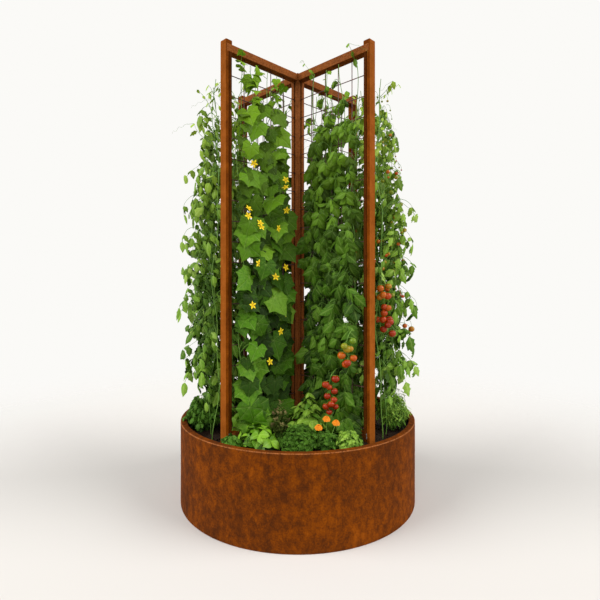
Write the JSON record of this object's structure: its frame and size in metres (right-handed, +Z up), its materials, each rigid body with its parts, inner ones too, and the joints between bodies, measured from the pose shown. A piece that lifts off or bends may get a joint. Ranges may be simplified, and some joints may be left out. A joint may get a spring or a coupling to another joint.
{
  "type": "planter with trellis",
  "caption": "Round weathering-steel planter with a cross-shaped trellis of wire mesh panels, filled with soil, climbing vegetables and herbs.",
  "frame": {"origin": "centre of the drum's underside, on the floor", "axes": "+Z up; -Y is the front, where the low herbs stand between two arms of the trellis; +X to the right seen from the front"},
  "size_m": [1.2, 1.2, 2.2],
  "materials": {
    "drum_rust": "matte",
    "post_rust": "matte",
    "wire": "matte",
    "zinc": "satin",
    "gravel": "matte",
    "soil": "matte",
    "vine_leaf": "satin",
    "tomato_leaf": "satin",
    "tomato_fruit": "gloss",
    "basil_leaf": "satin",
    "purple_leaf": "matte",
    "bright_leaf": "satin",
    "herb_leaf": "satin"
  },
  "bodies": {
    "root": {"drum_shell": "drum_rust", "base_plate": "drum_rust", "drainage_gravel": "gravel", "soil": "soil", "post_front_left": "post_rust", "post_cap_front_left": "post_rust", "top_rail_front_left": "post_rust", "bottom_rail_front_left": "post_rust", "post_spigot_front_left": "drum_rust", "mesh_panel_front_left": "wire", "fixing_bolts_front_left": "zinc", "post_front_right": "post_rust", "post_cap_front_right": "post_rust", "top_rail_front_right": "post_rust", "bottom_rail_front_right": "post_rust", "post_spigot_front_right": "drum_rust", "mesh_panel_front_right": "wire", "fixing_bolts_front_right": "zinc", "post_back_right": "post_rust", "post_cap_back_right": "post_rust", "top_rail_back_right": "post_rust", "bottom_rail_back_right": "post_rust", "post_spigot_back_right": "drum_rust", "mesh_panel_back_right": "wire", "fixing_bolts_back_right": "zinc", "post_back_left": "post_rust", "post_cap_back_left": "post_rust", "top_rail_back_left": "post_rust", "bottom_rail_back_left": "post_rust", "post_spigot_back_left": "drum_rust", "mesh_panel_back_left": "wire", "fixing_bolts_back_left": "zinc", "centre_post": "post_rust", "centre_cap": "post_rust", "centre_spigot": "drum_rust", "cucumber_front": "vine_leaf", "bean_left_front": "vine_leaf", "bean_left_back": "vine_leaf", "bean_back_left": "vine_leaf", "cucumber_back_right": "vine_leaf", "tomato_front": "tomato_leaf", "tomato_right_front": "tomato_leaf", "tomato_right_back": "tomato_leaf", "fruit_truss_front_upper": "tomato_fruit", "fruit_truss_front_lower": "tomato_fruit", "fruit_truss_right": "tomato_fruit", "basil": "basil_leaf", "purple_basil": "purple_leaf", "sweet_pepper": "bright_leaf", "tarragon": "bright_leaf", "parsley": "herb_leaf", "marigold": "herb_leaf", "celery": "herb_leaf", "lovage": "herb_leaf", "fennel": "herb_leaf"}
  },
  "joints": []
}
